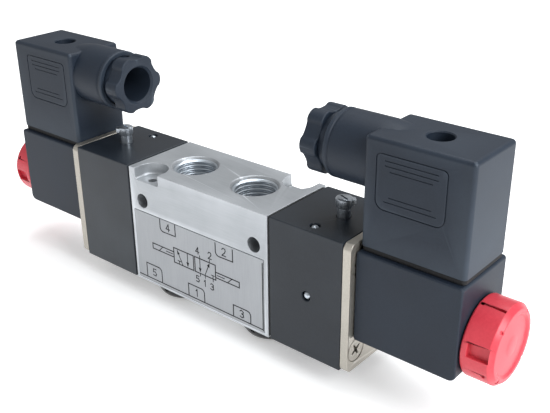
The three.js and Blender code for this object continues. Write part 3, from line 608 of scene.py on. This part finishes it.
def coil():
    length = COIL_HIGH[0] - COIL_LOW[0]
    height = COIL_TOP - COIL_LOW[2]
    middle = (COIL_LOW[0] + length / 2, COIL_LOW[2] + height / 2)
    made = prism(rounded(length, height, (0.9, 2, 0.9, 0.9), middle), -11, 11, "y")
    post = rod(2.6, COIL_TOP - 1, COIL_TOP + 5, "z", (CONNECTOR_MID, 0, 0), 32)
    hole = rod(1.45, COIL_TOP - 3, COIL_TOP + 6, "z", (CONNECTOR_MID, 0, 0), 32)
    blades = [block((CONNECTOR_MID + s * 8 - 0.4, -3.1, COIL_TOP - 1), (CONNECTOR_MID + s * 8 + 0.4, 3.1, COIL_TOP + 8))
              for s in (-1, 1)]
    blades.append(block((CONNECTOR_MID - 2.4, 5.4, COIL_TOP - 1), (CONNECTOR_MID + 2.4, 6.2, COIL_TOP + 8)))
    bevel(made, 0.55, 4, 50)
    cut(made, rod(4.5, COIL_LOW[0] - 1, COIL_HIGH[0] + 1, "x", AXIS_LINE, 64))
    join(made, post, *blades)
    cut(made, hole)
    both_ends(made, "coil", "coil", PLASTIC, "coil")


def gasket():
    size = (GASKET_HIGH[0] - GASKET_LOW[0], GASKET_HIGH[1] - GASKET_LOW[1])
    made = prism(rounded(*size, 1.2, (CONNECTOR_MID, 0)), GASKET_LOW[2], GASKET_HIGH[2], "z")
    slots = [block((CONNECTOR_MID + s * 8 - 0.9, -3.6, COIL_TOP - 2), (CONNECTOR_MID + s * 8 + 0.9, 3.6, COIL_TOP + 4))
             for s in (-1, 1)]
    slots.append(block((CONNECTOR_MID - 2.9, 4.9, COIL_TOP - 2), (CONNECTOR_MID + 2.9, 6.7, COIL_TOP + 4)))
    cut(made, *slots, rod(2.8, COIL_TOP - 2, COIL_TOP + 4, "z", (CONNECTOR_MID, 0, 0), 32))
    bevel(made, 0.2, 2, 50)
    both_ends(made, "connector_gasket", "coil", RUBBER, "connector_gasket")


def housing():
    half = 9.8
    size = (CONNECTOR_OUT - CONNECTOR_IN, 2 * half)
    bottom = GASKET_HIGH[2] + 0.1
    shell = block((CONNECTOR_IN, -half, bottom - 3), (CONNECTOR_OUT, half, CONNECTOR_TOP))
    bevel(shell, 1.15, 5, 60)
    cut(shell, block((CONNECTOR_IN - 5, -20, bottom - 5), (CONNECTOR_OUT + 5, 20, bottom)))
    neck = lathe([(0, 42.3), (8.9, 42.3), (9.2, 42.6), (9.2, 43.4), (8.95, 43.7), (8.95, 44.1), (9.2, 44.5),
                  (9.2, CONNECTOR_IN - 0.3), (9.15, CONNECTOR_IN + 1.5), (8.75, CONNECTOR_IN + 5),
                  (7.9, CONNECTOR_IN + 9), (0, CONNECTOR_IN + 9)], "x", NECK_LINE, 128)
    join(shell, neck)
    hollow = block((CONNECTOR_IN + 2, -half + 2, bottom - 1), (CONNECTOR_OUT - 2, half - 2, CONNECTOR_TOP - 2))
    cut(shell, hollow, rod(7.8, 41, CONNECTOR_IN + 1.5, "x", NECK_LINE, 128), rod(6, 55, CONNECTOR_IN + 4, "x", NECK_LINE))
    recess = CONNECTOR_TOP - 8.5
    join(shell, rod(4.6, recess - 1.6, CONNECTOR_TOP - 1, "z", (CONNECTOR_MID, 0, 0), 64))
    tools = [lathe([(0, recess), (3.35, recess), (3.35, CONNECTOR_TOP - 0.3),
                    (4.65, CONNECTOR_TOP + 1), (0, CONNECTOR_TOP + 1)], "z", (CONNECTOR_MID, 0, 0), 96),
             rod(1.7, recess - 3, CONNECTOR_TOP, "z", (CONNECTOR_MID, 0, 0), 32)]
    height = CONNECTOR_TOP - bottom
    panel = (0.66 * size[0], 0.5 * height)
    centre = (CONNECTOR_IN + 0.45 * size[0], CONNECTOR_TOP - 0.37 * height)
    for side in (-1, 1):
        face = side * half
        line = prism(rounded(*panel, (2.6, 2.6, 1.5, 1.5), centre), face - 0.22, face + 0.22, "y")
        inside = prism(rounded(panel[0] - 0.6, panel[1] - 0.6, (2.3, 2.3, 1.2, 1.2), centre), face - 0.4, face + 0.4, "y")
        tools.append(cut(line, inside))
        for share, z in ((0.74, 5.6), (0.74, 4.3), (0.6, 3.0), (0.6, -3.6), (0.74, -4.9)):
            width = panel[0] * share / 2
            tools.append(block((centre[0] - width, face - 0.16, centre[1] + z - 0.14),
                               (centre[0] + width, face + 0.16, centre[1] + z + 0.14)))
    cut(shell, *tools)
    both_ends(shell, "connector_housing", "coil", PLASTIC, "connector_housing")


def gland():
    x0, x1 = GLAND_LOW[0], GLAND_LOW[0] + 4.9
    outline = []
    for i in range(192):
        angle = math.tau * i / 192
        wave = math.cos(6 * angle)
        radius = 8.5 + 0.7 * math.copysign(abs(wave) ** 0.6, wave)
        outline.append((radius * math.cos(angle), NECK + radius * math.sin(angle)))
    made = prism(outline, x0, x1, "x")
    bevel(made, 0.35, 3, 60)
    shank = lathe([(0, x1 - 0.5), (7.5, x1 - 0.5), (7.5, GLAND_HIGH[0]), (0, GLAND_HIGH[0])], "x", NECK_LINE, 96)
    join(made, shank)
    hole = lathe([(0, x0 - 1), (6.3, x0 - 1), (6.0, x0), (5.35, x0 + 0.7), (5.35, x0 + 12), (4.9, x0 + 13), (0, x0 + 13)],
                 "x", NECK_LINE, 96)
    cut(made, hole)
    both_ends(made, "gland_nut", "gland_nut", PLASTIC, "gland_nut")
    seal = lathe([(3.6, SEAL_LOW[0] + 0.8), (4.4, SEAL_LOW[0]), (7.2, SEAL_LOW[0]), (7.2, SEAL_HIGH[0]),
                  (3.6, SEAL_HIGH[0])], "x", NECK_LINE, 64)
    both_ends(seal, "gland_seal", "coil", RUBBER, "gland_seal")


def nut():
    inner, outer = NUT_LOW[0], NUT_HIGH[0]
    radius = 10.7
    profile = [(0, inner), (10.3, inner), (radius, inner + 0.4), (radius, outer - 1.3), (radius - 1.2, outer),
               (radius - 2.2, outer), (radius - 2.9, outer - 0.5), (3.2, outer - 0.35), (2.6, outer - 0.15), (0, outer - 0.15)]
    made = lathe(profile, "x", (0, 0, 0), 144)
    tools = [rod(3.9, inner - 1, inner + 6, "x", (0, 0, 0), 48)]

    def at(angle, piece):
        piece.data.transform(Matrix.Rotation(math.radians(angle), 4, "X"))
        tools.append(piece)

    for turn in (0, 180):
        at(turn - 9, block((inner + 1.8, -radius - 2, -1.9), (outer - 1.2, -radius + 1.6, 1.9)))
        at(turn - 75, block((inner + 1.7, -radius - 2, -0.35), (outer - 1.4, -radius + 1.2, 0.35)))
        at(turn + 26, block((outer - 2.9, -radius - 2, -0.5), (outer - 2.1, -radius + 0.8, 0.5)))
        for notch in (-46, 48):
            at(turn + notch, block((outer - 0.5, -radius - 2, -0.3), (outer + 1, -radius + 1.5, 0.3)))
    cut(made, *tools)
    bevel(made, 0.18, 2, 42)
    made.data.transform(Matrix.Translation(AXIS_LINE))
    both_ends(made, "coil_nut", "coil_nut", NUT_RED, "coil_nut")


def spring(name, node, radius, wire, start, end, axis, line, turns):
    """A wound wire from start to end, its wire a little thinner over the end turns."""
    ring, steps = 10, turns * 28
    verts, faces = [], []
    for i in range(steps + 1):
        t = i / steps
        angle = math.tau * turns * t
        closed = min(1.0, t / 0.12, (1 - t) / 0.12)
        along = start + wire + (end - start - 2 * wire) * t
        flat = wire * (0.9 + 0.1 * closed)
        for k in range(ring):
            turn = math.tau * k / ring
            r = radius + flat * math.cos(turn)
            point = (r * math.cos(angle), r * math.sin(angle), along + flat * math.sin(turn))
            if axis == "x":
                point = (point[2], point[0], point[1])
            verts.append([a + b for a, b in zip(point, line)])
    for i in range(steps):
        for k in range(ring):
            m = (k + 1) % ring
            faces.append((i * ring + k, i * ring + m, (i + 1) * ring + m, (i + 1) * ring + k))
    faces.append(tuple(range(ring)))
    faces.append(tuple(steps * ring + k for k in reversed(range(ring))))
    made = mesh_object(name, verts, faces)
    both_ends(made, name, "valve", STEEL, node, 60)
    for side, sign in (("left", -1), ("right", 1)):
        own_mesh(bpy.data.objects[f"look_{name}_{side}"])


def springs():
    spring("override_spring", "override_spring", 1.35, 0.25, AXIS + 3.1, PIN_LOW[2] - 0.05, "z",
           (43.2, 0, 0), 4)
    low, high = corners("plunger_spring_right")
    spring("plunger_spring", "plunger_spring", 1.75, 0.3, low[0] - 0.02, high[0] + 0.05, "x",
           (0, 0, AXIS), 5)


body()
springs()
for port, x in (("4", -PORT_X), ("2", PORT_X)):
    thread(x, TOP, -1, f"look_port_thread_{port}")
thread(0, BASE, 1, "look_port_thread_1")
label()
silencer(-EXHAUST_X, "look_silencer_left", "exhaust_silencer_left")
silencer(EXHAUST_X, "look_silencer_right", "exhaust_silencer_right")
pilot()
ball((40.8, -9.3, TOP - 1.3), "top_ball_plug")
ball((40.8, FRONT + 1.3, AXIS - 0.4), "front_ball_plug")
pin()
plate()
coil()
gasket()
housing()
gland()
nut()

for part in frame["record"]["subparts"]:
    node = frame["nodes"][part["node"]]
    node.data.materials.clear()
    node.data.materials.append(SLOT_FINISH[part["material_slot"]])


# Floor, light and camera

def floor():
    made = mesh_object("floor", [(-6, -6, 0), (6, -6, 0), (6, 6, 0), (-6, 6, 0)], [(0, 1, 2, 3)])
    made.data.transform(Matrix.Translation((0, 0, -0.0004)))
    paper = material("floor_paper", (0.90, 0.90, 0.90), (0.92, 0.92, 0.92), 0.9, bump=0.01)
    glow = paper.node_tree.nodes["Principled BSDF"].inputs
    glow["Emission Color"].default_value = (1, 1, 1, 1)
    glow["Emission Strength"].default_value = 0.35
    made.data.materials.append(paper)


def area(name, place, size, power, target=(0, 0, 0.03), colour=(1, 1, 1)):
    data = bpy.data.lights.new(name, "AREA")
    data.size = size
    data.energy = power
    data.color = colour
    light = bpy.data.objects.new(name, data)
    scene.collection.objects.link(light)
    light.location = place
    light.rotation_mode = "QUATERNION"
    light.rotation_quaternion = (Vector(target) - Vector(place)).to_track_quat("-Z", "Y")


def camera():
    azimuth, elevation, roll = (math.radians(v) for v in (40.274, 25.375, -0.519))
    back = Vector((math.sin(azimuth) * math.cos(elevation), -math.cos(azimuth) * math.cos(elevation),
                   math.sin(elevation)))
    right = Vector((math.cos(azimuth), math.sin(azimuth), 0))
    up = back.cross(right)
    tilted_right = right * math.cos(roll) + up * math.sin(roll)
    tilted_up = up * math.cos(roll) - right * math.sin(roll)
    place = Vector((0.01036, 0.01063, 0.02747 + BASE * MM)) + back * 0.25776
    data = bpy.data.cameras.new("camera")
    data.sensor_width = 36
    data.lens = 56.06
    data.clip_start = 0.01
    made = bpy.data.objects.new("camera", data)
    scene.collection.objects.link(made)
    matrix = Matrix((tilted_right, tilted_up, back)).transposed().to_4x4()
    matrix.translation = place
    made.matrix_world = matrix
    scene.camera = made


floor()
area("key", (0.8, -0.05, 0.5), 0.5, 8.5, colour=(0.96, 0.98, 1))
area("fill", (-0.5, -0.7, 0.5), 0.9, 1.0)
area("top", (0.0, 0.3, 0.9), 0.8, 7.0, colour=(0.96, 0.98, 1))
world = bpy.data.worlds.new("studio")
world.use_nodes = True
world.node_tree.nodes["Background"].inputs["Color"].default_value = (1, 1, 1, 1)
world.node_tree.nodes["Background"].inputs["Strength"].default_value = 0.4
scene.world = world
scene.view_settings.view_transform = "Standard"
camera()
